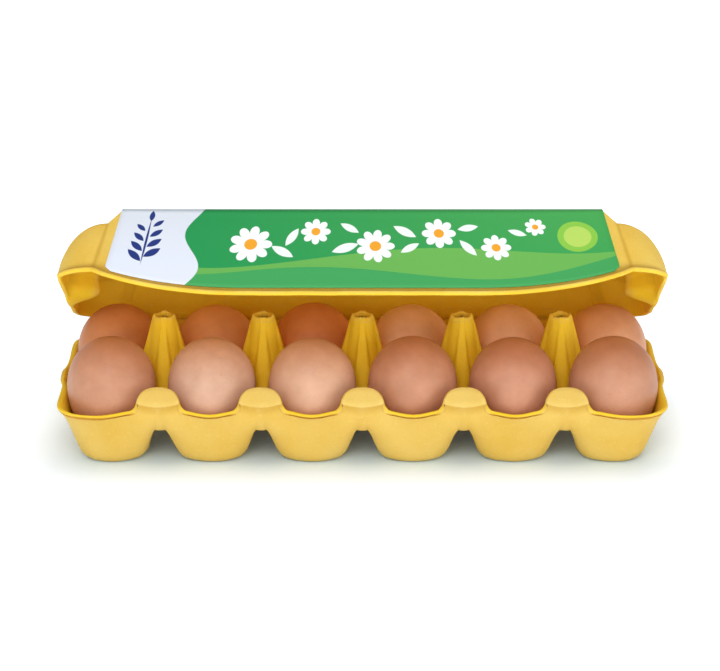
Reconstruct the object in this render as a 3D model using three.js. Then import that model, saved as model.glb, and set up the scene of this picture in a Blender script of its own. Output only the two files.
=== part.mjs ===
// Egg carton with eggs: a moulded pulp tray of two rows of six cups, a hinged pulp lid
// standing part way open, a glossy paper label on the lid, and twelve brown eggs.
// Millimetres, +X along the carton, -Y towards the front, +Z up, floor at z = 0.
import * as THREE from 'three'

// Cups and eggs
const CUPS_PER_ROW = 6
const CUP_PITCH = 49.5
const ROW_OFFSET = 25
const EGG_RADIUS = 21.7
const EGG_LENGTH = 56.8
const EGG_BLUNTNESS = 0.13
const EGG_GAP = 0.3
const EGG_SEGMENTS = 14
const EGG_RINGS = 9
const EGG_SIZES_FRONT = [1, 0.99, 0.985, 1, 0.99, 1]
const EGG_SIZES_BACK = [0.99, 0.98, 1, 0.985, 0.985, 0.99]

// Moulded pulp tray
const PULP = 2.3
const CUP_FLOOR_RADIUS = 13.2
const END_FLOOR_RADIUS = 12
const FOOT_ROUND = 2.4
const CUP_MID_RADIUS = 24
const CUP_MID_HEIGHT = 30
const CUP_CURVE = 1.5
const END_CUP_CURVE = 1.1
const CUP_WALL_SHARE = 0.62
const CUP_CORNER_FILL = 5.6
const CUP_CORNER_HEIGHT = 15
const CUP_CORNER_CURVE = 0.6
const CUP_CORNER_SHARPNESS = 3
const CUP_UPPER_SLOPE = 0.18
const LOW_RING_SHARE = 0.25
const WALL_PINCH = 0.3
const RIDGE_HEIGHT = 21.5
const RIDGE_ROUND = 1.2
const RIDGE_MID_REACH = 9
const RIDGE_MID_DROP = 0.6
const ARCH_REACH = 18.5
const ARCH_DROP = 1.2
const ARCH_TURN = [25.9, 19.6]
const ARCH_WALL_HEIGHT = 14.5
const CORNER_WALL_HEIGHT = 15.5
const FRONT_CORNER_TURN = [29.6, 22.6]
const BACK_CORNER_TURN = [29.6, 24]
const PILLAR_HEIGHT = 61
const PILLAR_HOLE = 3.3
const PILLAR_RING = 5.8
const PILLAR_RING_HEIGHT = 60.8
const FRONT_RIM_HEIGHT = 29
const END_RIM_HEIGHT = 31.7
const END_RIM_SLOPE = 0.045
const RIM_REACH = 26.4
const END_REACH = 25.6
const CORNER_RADIUS = 14
const RIM_FLANGE = 2.1
const RIM_TURN_DROP = 1
const RIM_DIP_HALF = 10.75
const RIM_DIP_RISE = 2.2
const END_FLANGE = 3.2
const END_CORNER_FILL = 0.3
const END_CORNER_TURNS = [-90, -62, -30, 0]
const END_WALL_STOPS = [-1, 12]
const END_RIDGE_TURN = [31.5, 25]
const END_RIDGE_WALL_HEIGHT = 18
const END_RIDGE_REACH = 19
const END_RIDGE_RISE = 1
const END_RIDGE_SHOULDER = [25.5, 20.6]
const END_RIDGE_MIDDLE = 10
const LUG_CREASE_HEIGHT = 33.7
const LUG_TIP_HEIGHT = 35.7
const LUG_TOP_HEIGHT = 40.7
const LUG_HALF_WIDTH = 10.4
const LUG_CREASE_REACH = 25
const LUG_TOP_REACH = 20
const LUG_FACE_HALF = 5
const LUG_FACE_RISE = 0.5
const LUG_TIP_LEAD = 0.2
const LUG_SIDE_TURN = [26.6, 26]
const LUG_FACE_TURN = [28.9, 24.2]
const LUG_SHOULDER_HALF = 8.6
const LUG_SHOULDER_REACH = 22.8
const LUG_SHOULDER_HEIGHT = 39

// Hinge
const HINGE_Y = 52
const HINGE_Z = 42
const HINGE_GAP = 0.4
const REST_OPENING_DEG = 36
const HINGE_WALL_REACH = 24.7
const HINGE_CUP_TURN = [24.1, 32]
const HINGE_MID_HALF = 12.75
const HINGE_MID_TURN = [26.6, 31]
const HINGE_SIDE_TURN = [28.8, 26]
const HINGE_CORNER_DROP = 6

// Lid, described as if closed
const LID_PULP = 2
const LID_TOP = 68.4
const DOME_TOP = 62.4
const LID_FRONT = 57.5
const LID_SKIRT_HEIGHT = 23.5
const LID_SKIRT_FLAT = 50
const LID_SHOULDER_X = 121
const LID_SHOULDER_HEIGHT = 34.7
const LID_END_HEIGHT = 36.4
const LID_END_SLOPE = 0.055
const PANEL_HALF = 116.5
const PANEL_SLANT = 7.5
const DOME_START = 122.5
const LID_HALF_LENGTH = 147.8
const LID_CORNER_FRONT = 37
const LID_CORNER_BACK = 25
const LID_LIP = 1.2
const DOME_INSET = 2.5
const DOME_INSET_REACH = 20
const DOME_SHOULDER = 1.3
const DOME_EDGE_START = 28
const DOME_EDGE_WIDTH = 16
const DOME_FRONT_RISE = 1.5
const LEAN_HEIGHT = 35
const LEAN_LIMIT = 0.9
const SKIRT_CURVE = 2.2
const NOTCH_DEPTH = 14.5
const NOTCH_WIDTH = 8
const NOTCH_Y = -1
const LIP_TURN = 9

// Paper label
const LABEL_GAP = 0.3
const LABEL_THICKNESS = 0.35
const LABEL_BACK = 36
const LABEL_LOW_STOP = { y: -57.1, rise: 0.04 }

const DEG = Math.PI / 180

function mix(a, b, t) {
  return a + (b - a) * t
}

// A sheet is an open surface with shared points; thicken() turns it into a closed solid.
function newSheet() {
  return { points: [], faces: [], lookup: new Map() }
}

function addPoint(sheet, point) {
  const key = point.map((value) => Math.round(value * 1000)).join(',')
  if (!sheet.lookup.has(key)) {
    sheet.lookup.set(key, sheet.points.length)
    sheet.points.push(point)
  }
  return sheet.lookup.get(key)
}

function addTriangle(sheet, a, b, c, flipped) {
  if (a === b || b === c || c === a) return
  sheet.faces.push(flipped ? [a, c, b] : [a, b, c])
}

function addQuad(sheet, a, b, c, d, flipped) {
  addTriangle(sheet, a, b, c, flipped)
  addTriangle(sheet, a, c, d, flipped)
}

function pointNormals(sheet) {
  const normals = sheet.points.map(() => new THREE.Vector3())
  for (const face of sheet.faces) {
    const corners = face.map((index) => new THREE.Vector3(...sheet.points[index]))
    const normal = new THREE.Vector3()
      .crossVectors(corners[1].clone().sub(corners[0]), corners[2].clone().sub(corners[0]))
      .normalize()
    face.forEach((index, k) => {
      const before = corners[(k + 2) % 3].clone().sub(corners[k])
      const after = corners[(k + 1) % 3].clone().sub(corners[k])
      normals[index].addScaledVector(normal, before.angleTo(after))
    })
  }
  return normals.map((normal) => normal.normalize())
}

function boundaryEdges(sheet) {
  const seen = new Set()
  for (const [a, b, c] of sheet.faces) {
    for (const edge of [[a, b], [b, c], [c, a]]) seen.add(edge.join(','))
  }
  return [...seen]
    .map((edge) => edge.split(',').map(Number))
    .filter(([a, b]) => !seen.has(`${b},${a}`))
}

// Closes a sheet with a second skin one thickness below it and a wall along every free edge.
function thicken(sheet, thickness, direction) {
  const normals = pointNormals(sheet)
  const below = sheet.points.map((point, index) => {
    const normal = direction ? direction(point, normals[index]) : normals[index]
    return point.map((value, axis) => value - thickness * normal.getComponent(axis))
  })
  const count = sheet.points.length
  const triangles = []
  for (const [a, b, c] of sheet.faces) {
    triangles.push(a, b, c, count + a, count + c, count + b)
  }
  for (const [a, b] of boundaryEdges(sheet)) {
    triangles.push(b, a, count + a, b, count + a, count + b)
  }
  const geometry = new THREE.BufferGeometry()
  const positions = [...sheet.points, ...below].flat()
  geometry.setAttribute('position', new THREE.Float32BufferAttribute(positions, 3))
  geometry.setIndex(triangles)
  geometry.computeVertexNormals()
  return geometry
}

// Inner radius of a cup at a height above the floor; corner runs from 0 to 1 towards the
// outer corners of the cell, where the cup is squarer.
function cupRadius(z, corner = 0, floorRadius = CUP_FLOOR_RADIUS) {
  if (z > CUP_MID_HEIGHT) return CUP_MID_RADIUS + CUP_UPPER_SLOPE * (z - CUP_MID_HEIGHT)
  const rise = Math.max(0, z - PULP) / (CUP_MID_HEIGHT - PULP)
  const base = floorRadius + FOOT_ROUND
  const curve = floorRadius < CUP_FLOOR_RADIUS ? END_CUP_CURVE : CUP_CURVE
  const round = base + (CUP_MID_RADIUS - base) * rise ** curve
  const cornerRise = Math.min(1, Math.max(0, z - PULP) / (CUP_CORNER_HEIGHT - PULP))
  return round + corner * CUP_CORNER_FILL * cornerRise ** CUP_CORNER_CURVE
}

// One column of points from the cup floor out to an edge point [u, v, z] of the cell.
// The shoulder is the [radius, height] where the wall turns over towards that edge point.
function cupColumn(edge, shoulder, options = {}) {
  const [u, v, z] = edge
  const { wallHeight, floorRadius = CUP_FLOOR_RADIUS, fill = 1 } = options
  const reach = Math.hypot(u, v)
  const corner = fill * Math.max(0, (-2 * u * v) / (reach * reach)) ** CUP_CORNER_SHARPNESS
  const radiusAt = (height) => cupRadius(height, corner, floorRadius)
  const shoulderHeight = shoulder ? shoulder[1] : z - RIDGE_ROUND
  const shoulderRadius = shoulder ? shoulder[0] : radiusAt(shoulderHeight)
  const middle = wallHeight ?? mix(PULP, shoulderHeight, CUP_WALL_SHARE)
  const low = mix(PULP, middle, LOW_RING_SHARE)
  const pinch = WALL_PINCH * Math.min(0, shoulderRadius - radiusAt(shoulderHeight))
  const rings = [
    [floorRadius, PULP],
    [radiusAt(low), low],
    [radiusAt(middle) + pinch, middle],
    [shoulderRadius, shoulderHeight],
  ]
  const column = rings.map(([radius, height]) => [(u / reach) * radius, (v / reach) * radius, height])
  column.push([u, v, z])
  return column
}

const HALF_PITCH = CUP_PITCH / 2

// Half of a lug's crease and of its top edge, from the side in to the middle, measured
// from the middle of the lug and the row of cups.
const LUG_CREASE = [
  [LUG_HALF_WIDTH, -LUG_CREASE_REACH - LUG_TIP_LEAD, LUG_TIP_HEIGHT],
  [LUG_FACE_HALF, -LUG_CREASE_REACH, LUG_CREASE_HEIGHT + LUG_FACE_RISE],
  [0, -LUG_CREASE_REACH, LUG_CREASE_HEIGHT],
]
const LUG_TOP = [
  [LUG_SHOULDER_HALF, -LUG_SHOULDER_REACH, LUG_SHOULDER_HEIGHT],
  [LUG_FACE_HALF, -LUG_TOP_REACH - LUG_FACE_RISE, LUG_TOP_HEIGHT - LUG_FACE_RISE],
  [0, -LUG_TOP_REACH, LUG_TOP_HEIGHT],
]

// Stops down the four ribs of a pillar: where the rib is, as [distance from the pillar's
// axis, height], and where the cup's wall beside it turns over, also as distance and height.
const PILLAR_STOPS = [
  { rib: [PILLAR_HOLE, PILLAR_HEIGHT], beside: [PILLAR_RING, PILLAR_RING_HEIGHT] },
  { rib: [PILLAR_RING, PILLAR_RING_HEIGHT], beside: [6.9, 57.5] },
  { rib: [10, 46], beside: [12.1, 39] },
  { rib: [15.5, 31.5], beside: [16.6, 29] },
]

// A column that ends at [u, v, z] on a pillar. Its wall turns over at the given distance from
// the pillar's axis, on the way from the cup's centre.
function pillarColumn(edge, [distance, height]) {
  const [u, v] = edge
  const along = (u * HALF_PITCH + v * ROW_OFFSET) / Math.hypot(u, v)
  const aside = HALF_PITCH ** 2 + ROW_OFFSET ** 2 - along ** 2
  return cupColumn(edge, [along - Math.sqrt(distance ** 2 - aside), height])
}

// Columns on the cell side shared with the next cup, from the outer wall in to the pillar.
function sharedSide(front) {
  const cornerShoulder = front ? FRONT_CORNER_TURN : BACK_CORNER_TURN
  const corner = front
    ? [HALF_PITCH, -LUG_CREASE_REACH, LUG_CREASE_HEIGHT]
    : [HALF_PITCH, -HINGE_WALL_REACH, HINGE_Z - HINGE_GAP]
  const arch = [HALF_PITCH, -ARCH_REACH, RIDGE_HEIGHT - ARCH_DROP]
  const columns = [
    cupColumn(corner, cornerShoulder, { wallHeight: CORNER_WALL_HEIGHT }),
    cupColumn(arch, ARCH_TURN, { wallHeight: ARCH_WALL_HEIGHT }),
    cupColumn([HALF_PITCH, -RIDGE_MID_REACH, RIDGE_HEIGHT - RIDGE_MID_DROP]),
    cupColumn([HALF_PITCH, 0, RIDGE_HEIGHT]),
  ]
  for (const { rib, beside } of [...PILLAR_STOPS].reverse()) {
    columns.push(pillarColumn([HALF_PITCH, ROW_OFFSET - rib[0], rib[1]], beside))
  }
  return columns
}

// Columns along the ridge between the two rows, from the pillar to the middle of the cell.
function innerSide() {
  const hole = PILLAR_HOLE * Math.SQRT1_2
  const corner = [HALF_PITCH - hole, ROW_OFFSET - hole, PILLAR_HEIGHT]
  const columns = [pillarColumn(corner, PILLAR_STOPS[0].beside)]
  for (const { rib, beside } of PILLAR_STOPS) {
    columns.push(pillarColumn([HALF_PITCH - rib[0], ROW_OFFSET, rib[1]], beside))
  }
  columns.push(cupColumn([0, ROW_OFFSET, RIDGE_HEIGHT]))
  return columns
}

// A column that ends in the outward turned rim.
function rimColumn(u, v, z, flange, options) {
  const reach = Math.hypot(u, v)
  return cupColumn([u, v, z], [reach - flange, z - RIM_TURN_DROP], options)
}

// Columns along the front wall, from the middle of the cell to the lug beside it.
function frontSide() {
  const [tip, face] = LUG_CREASE.map(([u, v, z]) => [HALF_PITCH - u, v, z])
  return [
    rimColumn(0, -RIM_REACH, FRONT_RIM_HEIGHT, RIM_FLANGE),
    rimColumn(RIM_DIP_HALF, -RIM_REACH, FRONT_RIM_HEIGHT + RIM_DIP_RISE, RIM_FLANGE),
    cupColumn(tip, LUG_SIDE_TURN),
    cupColumn(face, LUG_FACE_TURN),
  ]
}

// Columns along the hinge wall at the back, as far as the next cell.
function hingeSide() {
  const top = HINGE_Z - HINGE_GAP
  return [
    cupColumn([0, -HINGE_WALL_REACH, top], HINGE_CUP_TURN),
    cupColumn([HINGE_MID_HALF, -HINGE_WALL_REACH, top], HINGE_MID_TURN),
    cupColumn([HALF_PITCH - LUG_FACE_HALF, -HINGE_WALL_REACH, top], HINGE_SIDE_TURN),
  ]
}

// Height of the rim around the ends of the tray.
function endRim(y) {
  return END_RIM_HEIGHT + END_RIM_SLOPE * y
}

// Columns around a corner and along an end wall, in to the ridge between the rows.
function endSide(front) {
  const side = front ? 1 : -1
  const turnU = END_REACH - CORNER_RADIUS
  const turnV = -RIM_REACH + CORNER_RADIUS
  const columns = []
  for (const degrees of END_CORNER_TURNS) {
    const u = turnU + CORNER_RADIUS * Math.cos(degrees * DEG)
    const v = turnV + CORNER_RADIUS * Math.sin(degrees * DEG)
    let z = endRim(side * (v - ROW_OFFSET))
    if (degrees === -90) z = front ? FRONT_RIM_HEIGHT : HINGE_Z - HINGE_CORNER_DROP
    const turned = (degrees + 90) / 90
    const floorRadius = mix(CUP_FLOOR_RADIUS, END_FLOOR_RADIUS, turned)
    const flange = mix(RIM_FLANGE, END_FLANGE, turned)
    columns.push(rimColumn(u, v, z, flange, { floorRadius, fill: END_CORNER_FILL }))
  }
  const end = { floorRadius: END_FLOOR_RADIUS }
  for (const v of END_WALL_STOPS) {
    columns.push(rimColumn(END_REACH, v, endRim(side * (v - ROW_OFFSET)), END_FLANGE, end))
  }
  const ridgeEnd = [END_REACH, ROW_OFFSET, endRim(0)]
  columns.push(cupColumn(ridgeEnd, END_RIDGE_TURN, { wallHeight: END_RIDGE_WALL_HEIGHT }))
  const ridgeShoulder = [END_RIDGE_REACH, ROW_OFFSET, RIDGE_HEIGHT + END_RIDGE_RISE]
  columns.push(cupColumn(ridgeShoulder, END_RIDGE_SHOULDER))
  columns.push(cupColumn([END_RIDGE_MIDDLE, ROW_OFFSET, RIDGE_HEIGHT]))
  columns.push(cupColumn([0, ROW_OFFSET, RIDGE_HEIGHT]))
  return columns
}

// Lays one half of a cell into the sheet; mirrorX and mirrorY place it by reflection.
function addHalfCell(sheet, centreX, mirrorX, mirrorY, columns) {
  const place = ([u, v, z]) => addPoint(sheet, [centreX + mirrorX * u, mirrorY * (v - ROW_OFFSET), z])
  const flipped = mirrorX * mirrorY < 0
  const centre = place([0, 0, PULP])
  const placed = columns.map((column) => column.map(place))
  for (let i = 0; i + 1 < placed.length; i++) {
    const here = placed[i]
    const next = placed[i + 1]
    addTriangle(sheet, centre, here[0], next[0], flipped)
    for (let k = 0; k + 1 < here.length; k++) {
      addQuad(sheet, here[k], here[k + 1], next[k + 1], next[k], flipped)
    }
  }
}

// The part of a lug above its crease, leaning back over the tray.
function addLugCap(sheet, centreX) {
  for (const side of [-1, 1]) {
    const place = ([u, v, z]) => addPoint(sheet, [centreX + side * u, v - ROW_OFFSET, z])
    const low = LUG_CREASE.map(place)
    const high = LUG_TOP.map(place)
    for (let i = 0; i + 1 < low.length; i++) {
      addQuad(sheet, low[i], low[i + 1], high[i + 1], high[i], side < 0)
    }
  }
}

function columnX(index) {
  return (index - (CUPS_PER_ROW - 1) / 2) * CUP_PITCH
}

function buildTray() {
  const sheet = newSheet()
  const inner = innerSide()
  for (const front of [true, false]) {
    const mirrorY = front ? 1 : -1
    const outer = front ? frontSide() : hingeSide()
    const middleHalf = [...outer, ...sharedSide(front), ...inner]
    const endHalf = [outer[0], ...endSide(front)]
    for (let index = 0; index < CUPS_PER_ROW; index++) {
      const x = columnX(index)
      addHalfCell(sheet, x, 1, mirrorY, index === CUPS_PER_ROW - 1 ? endHalf : middleHalf)
      addHalfCell(sheet, x, -1, mirrorY, index === 0 ? endHalf : middleHalf)
    }
  }
  for (let index = 0; index + 1 < CUPS_PER_ROW; index++) {
    addLugCap(sheet, columnX(index) + HALF_PITCH)
  }
  const upright = new THREE.Vector3(0, 0, 1)
  return thicken(sheet, PULP, (point, normal) => (point[2] === PULP ? upright : normal))
}

// Lid sections run from the front lip over the top to the hinge. Each stop gives the share
// of the depth and of the height there.
const LID_STOPS = [
  { y: -57.5, rise: 0 },
  { y: -53.2, rise: 0.42 },
  { y: -49.4, rise: 0.86 },
  { y: -48.4, rise: 0.965 },
  { y: -45.4, rise: 1 },
  { y: -24, rise: 1 },
  { y: -12, rise: 1 },
  { y: -1.5, rise: 1 },
  { y: 9, rise: 1 },
  { y: 24, rise: 1 },
  { y: 42, rise: 1 },
  { y: 44.4, rise: 0.96 },
  { y: 45.6, rise: 0.85 },
  { y: 49.2, rise: 0.4 },
  { y: 52, rise: 0 },
]

const PANEL_STATIONS = [0, 30, 60, 90, PANEL_HALF, DOME_START]
const END_TURNS = [18, 36, 52, 66, 76, 84, 90]

function lidEndHeight(y) {
  return LID_END_HEIGHT + LID_END_SLOPE * y
}

// Stations are the places along the lid where it has a section; turn runs over its ends.
function lidStations() {
  const half = PANEL_STATIONS.map((x) => ({ x, turn: 0 }))
  for (const degrees of END_TURNS) {
    const x = mix(DOME_START, LID_HALF_LENGTH, Math.sin(degrees * DEG))
    half.push({ x, turn: degrees * DEG })
  }
  const mirrored = half.slice(1).map(({ x, turn }) => ({ x: -x, turn })).reverse()
  return [...mirrored, ...half]
}

function skirtHeight(x) {
  if (x < LID_SKIRT_FLAT) return LID_SKIRT_HEIGHT
  const along = (x - LID_SKIRT_FLAT) / (LID_SHOULDER_X - LID_SKIRT_FLAT)
  return mix(LID_SKIRT_HEIGHT, LID_SHOULDER_HEIGHT, Math.min(1, along) ** SKIRT_CURVE)
}

// How far the end wall is pushed in between the two end eggs, above its straight lip.
function endNotch(y, turn) {
  const across = Math.exp(-(((y - NOTCH_Y) / NOTCH_WIDTH) ** 2))
  const lipShare = Math.min(1, (90 - turn / DEG) / LIP_TURN)
  return NOTCH_DEPTH * across * Math.sin(turn) * lipShare
}

// A point of the lid's outer skin at a station and a stop, as if closed.
function lidPoint(station, stop) {
  const distance = Math.abs(station.x)
  const round = Math.cos(station.turn)
  const dome = distance >= DOME_START
  const edgeShare = (stop.y + LID_FRONT) / (HINGE_Y + LID_FRONT)
  const cornerShare = stop.y < 0 ? LID_CORNER_FRONT / LID_FRONT : LID_CORNER_BACK / HINGE_Y
  let y = stop.y * mix(cornerShare, 1, round)
  if (dome) y -= Math.sign(y) * DOME_INSET * round * Math.min(1, Math.abs(y) / DOME_INSET_REACH)
  const frontLow = dome
    ? mix(lidEndHeight(y), LID_SHOULDER_HEIGHT + DOME_FRONT_RISE, round)
    : skirtHeight(distance)
  const backLow = dome ? mix(lidEndHeight(y), HINGE_Z + HINGE_GAP, round) : HINGE_Z + HINGE_GAP
  const low = mix(frontLow, backLow, edgeShare)
  const edge = Math.min(1, Math.max(0, (Math.abs(y) - DOME_EDGE_START) / DOME_EDGE_WIDTH))
  const fall = 1 + DOME_SHOULDER * edge * Math.sin(station.turn) ** 3
  const top = dome ? mix(lidEndHeight(y), DOME_TOP, round ** fall) : LID_TOP
  const z = mix(low, top, stop.rise)
  const slant = dome ? round : Math.min(1, distance / PANEL_HALF)
  const lean = (PANEL_SLANT * slant * (LID_TOP - z)) / LEAN_HEIGHT
  const leaning = Math.min(distance + lean, mix(distance, LID_HALF_LENGTH, LEAN_LIMIT))
  const x = leaning - endNotch(y, station.turn)
  return [Math.sign(station.x) * x, y, z]
}

function buildLid() {
  const sheet = newSheet()
  const rows = lidStations().map((station) => LID_STOPS.map((stop) => lidPoint(station, stop)))
  const placed = rows.map((row) => {
    const front = row[0]
    const lip = [front[0], front[1] - LID_LIP, front[2]]
    return [lip, ...row].map(([x, y, z]) => addPoint(sheet, [x, y - HINGE_Y, z - HINGE_Z]))
  })
  for (let i = 0; i + 1 < placed.length; i++) {
    for (let k = 0; k + 1 < placed[i].length; k++) {
      addQuad(sheet, placed[i][k], placed[i + 1][k], placed[i + 1][k + 1], placed[i][k + 1])
    }
  }
  return thicken(sheet, LID_PULP)
}

// The label follows the raised panel of the lid from just above the lip to near its back.
function buildLabel() {
  const low = LABEL_LOW_STOP
  const back = { y: LABEL_BACK, rise: 1 }
  const covered = LID_STOPS.filter((stop) => stop.y > low.y && stop.y < back.y)
  const stops = [low, ...covered, back]
  const skin = newSheet()
  const stations = lidStations().filter((station) => Math.abs(station.x) <= PANEL_HALF)
  const placed = stations.map((station) =>
    stops.map((stop) => {
      const [x, y, z] = lidPoint(station, stop)
      return addPoint(skin, [x, y - HINGE_Y, z - HINGE_Z])
    }),
  )
  for (let i = 0; i + 1 < placed.length; i++) {
    for (let k = 0; k + 1 < placed[i].length; k++) {
      addQuad(skin, placed[i][k], placed[i + 1][k], placed[i + 1][k + 1], placed[i][k + 1])
    }
  }
  const lift = LABEL_GAP + LABEL_THICKNESS
  const normals = pointNormals(skin)
  skin.points = skin.points.map((point, index) =>
    point.map((value, axis) => value + lift * normals[index].getComponent(axis)),
  )
  return thicken(skin, LABEL_THICKNESS)
}

// An egg with its blunt end up, standing on z = 0. The facets straddle the true surface.
function eggGeometry(radius, length) {
  const facetRadius = radius / Math.sqrt(Math.cos(Math.PI / EGG_SEGMENTS))
  const profile = []
  for (let ring = 0; ring <= EGG_RINGS; ring++) {
    const t = -Math.cos((Math.PI * ring) / EGG_RINGS)
    const around = Math.sqrt(Math.max(0, 1 - t * t)) * (1 + EGG_BLUNTNESS * t)
    const onAxis = ring === 0 || ring === EGG_RINGS
    profile.push(new THREE.Vector2(onAxis ? 0 : facetRadius * around, (length * (t + 1)) / 2))
  }
  const geometry = new THREE.LatheGeometry(profile, EGG_SEGMENTS)
  geometry.rotateX(Math.PI / 2)
  return geometry
}

function part(name, geometry, color, roughness) {
  const mesh = new THREE.Mesh(geometry, new THREE.MeshStandardMaterial({ color, roughness, metalness: 0 }))
  mesh.name = name
  return mesh
}

function buildEggs() {
  const eggs = []
  for (const front of [true, false]) {
    const sizes = front ? EGG_SIZES_FRONT : EGG_SIZES_BACK
    sizes.forEach((size, index) => {
      const geometry = eggGeometry(EGG_RADIUS * size, EGG_LENGTH * size)
      const egg = part(`egg_${front ? 'front' : 'back'}_${index + 1}`, geometry, SHELL, 0.5)
      egg.position.set(columnX(index), front ? -ROW_OFFSET : ROW_OFFSET, PULP + EGG_GAP)
      eggs.push(egg)
    })
  }
  return eggs
}

const SHELL = 0xc98f6c
const YELLOW_PULP = 0xe8b93a
const LABEL_GREEN = 0x3fa860

const carton = new THREE.Group()
carton.name = 'egg_carton'
carton.add(part('tray', buildTray(), YELLOW_PULP, 0.85), ...buildEggs())

const lidHinge = new THREE.Group()
lidHinge.name = 'lid_hinge'
lidHinge.position.set(0, HINGE_Y, HINGE_Z)
lidHinge.rotation.x = -REST_OPENING_DEG * DEG
lidHinge.add(part('lid', buildLid(), YELLOW_PULP, 0.85), part('label', buildLabel(), LABEL_GREEN, 0.3))
carton.add(lidHinge)

// The origin is the middle of the foot print of the whole carton with its lid part way open.
const extent = new THREE.Box3().setFromObject(carton, true)
carton.position.y = -(extent.min.y + extent.max.y) / 2

export default carton
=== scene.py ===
# Egg carton with twelve brown eggs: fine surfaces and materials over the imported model.
# Lengths in this script are millimetres in the carton's own frame unless a name says otherwise.
import math

import bpy
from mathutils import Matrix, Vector, noise


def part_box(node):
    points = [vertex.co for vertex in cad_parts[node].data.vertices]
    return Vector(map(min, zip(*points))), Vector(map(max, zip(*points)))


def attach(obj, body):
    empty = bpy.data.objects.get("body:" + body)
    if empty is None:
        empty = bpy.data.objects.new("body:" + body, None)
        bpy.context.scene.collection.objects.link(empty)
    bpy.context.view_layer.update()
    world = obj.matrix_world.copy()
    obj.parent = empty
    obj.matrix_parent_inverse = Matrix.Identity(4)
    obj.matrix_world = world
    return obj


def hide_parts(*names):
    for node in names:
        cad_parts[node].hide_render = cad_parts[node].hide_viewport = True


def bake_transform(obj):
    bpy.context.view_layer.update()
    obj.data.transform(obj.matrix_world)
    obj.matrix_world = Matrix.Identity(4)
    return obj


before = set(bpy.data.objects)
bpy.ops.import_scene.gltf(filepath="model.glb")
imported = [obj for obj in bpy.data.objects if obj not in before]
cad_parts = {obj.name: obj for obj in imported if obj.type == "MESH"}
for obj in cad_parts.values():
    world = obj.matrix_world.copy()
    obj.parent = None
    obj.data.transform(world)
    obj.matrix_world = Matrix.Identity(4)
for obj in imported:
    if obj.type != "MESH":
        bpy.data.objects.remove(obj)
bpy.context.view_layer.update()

MM = 0.001

# Cups and eggs
CUPS_PER_ROW = 6
CUP_PITCH = 49.5
HALF_PITCH = CUP_PITCH / 2
ROW_OFFSET = 25
EGG_RADIUS = 21.7
EGG_LENGTH = 56.8
EGG_BLUNTNESS = 0.13
EGG_GAP = 0.3

# Moulded pulp tray
PULP = 2.3
CUP_FLOOR_RADIUS = 13.2
END_FLOOR_RADIUS = 12
FOOT_ROUND = 2.4
CUP_MID_RADIUS = 24
CUP_MID_HEIGHT = 30
CUP_CURVE = 1.5
END_CUP_CURVE = 1.1
CUP_WALL_SHARE = 0.62
CUP_CORNER_FILL = 5.6
CUP_CORNER_HEIGHT = 15
CUP_CORNER_CURVE = 0.6
CUP_CORNER_SHARPNESS = 3
CUP_UPPER_SLOPE = 0.18
LOW_RING_SHARE = 0.25
WALL_PINCH = 0.3
RIDGE_HEIGHT = 21.5
RIDGE_ROUND = 1.2
RIDGE_MID_REACH = 9
RIDGE_MID_DROP = 0.6
ARCH_REACH = 18.5
ARCH_DROP = 1.2
ARCH_TURN = [25.9, 19.6]
ARCH_WALL_HEIGHT = 14.5
CORNER_WALL_HEIGHT = 15.5
FRONT_CORNER_TURN = [29.6, 22.6]
BACK_CORNER_TURN = [29.6, 24]
PILLAR_HEIGHT = 61
PILLAR_HOLE = 3.3
PILLAR_RING = 5.8
PILLAR_RING_HEIGHT = 60.8
FRONT_RIM_HEIGHT = 29
END_RIM_HEIGHT = 31.7
END_RIM_SLOPE = 0.045
RIM_REACH = 26.4
END_REACH = 25.6
CORNER_RADIUS = 14
RIM_FLANGE = 2.1
RIM_TURN_DROP = 1
RIM_DIP_HALF = 10.75
RIM_DIP_RISE = 2.2
END_FLANGE = 3.2
END_CORNER_FILL = 0.3
END_CORNER_TURNS = [-90, -62, -30, 0]
END_WALL_STOPS = [-1, 12]
END_RIDGE_TURN = [31.5, 25]
END_RIDGE_WALL_HEIGHT = 18
END_RIDGE_REACH = 19
END_RIDGE_RISE = 1
END_RIDGE_SHOULDER = [25.5, 20.6]
END_RIDGE_MIDDLE = 10
LUG_CREASE_HEIGHT = 33.7
LUG_TIP_HEIGHT = 35.7
LUG_TOP_HEIGHT = 40.7
LUG_HALF_WIDTH = 10.4
LUG_CREASE_REACH = 25
LUG_TOP_REACH = 20
LUG_FACE_HALF = 5
LUG_FACE_RISE = 0.5
LUG_TIP_LEAD = 0.2
LUG_SIDE_TURN = [26.6, 26]
LUG_FACE_TURN = [28.9, 24.2]
LUG_SHOULDER_HALF = 8.6
LUG_SHOULDER_REACH = 22.8
LUG_SHOULDER_HEIGHT = 39
LUG_CREASE_SHARPNESS = 1

# Hinge
HINGE_Y = 52
HINGE_Z = 42
HINGE_GAP = 0.4
HINGE_WALL_REACH = 24.7
HINGE_CUP_TURN = [24.1, 32]
HINGE_MID_HALF = 12.75
HINGE_MID_TURN = [26.6, 31]
HINGE_SIDE_TURN = [28.8, 26]
HINGE_CORNER_DROP = 6
REST_OPENING = math.radians(36)

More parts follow.
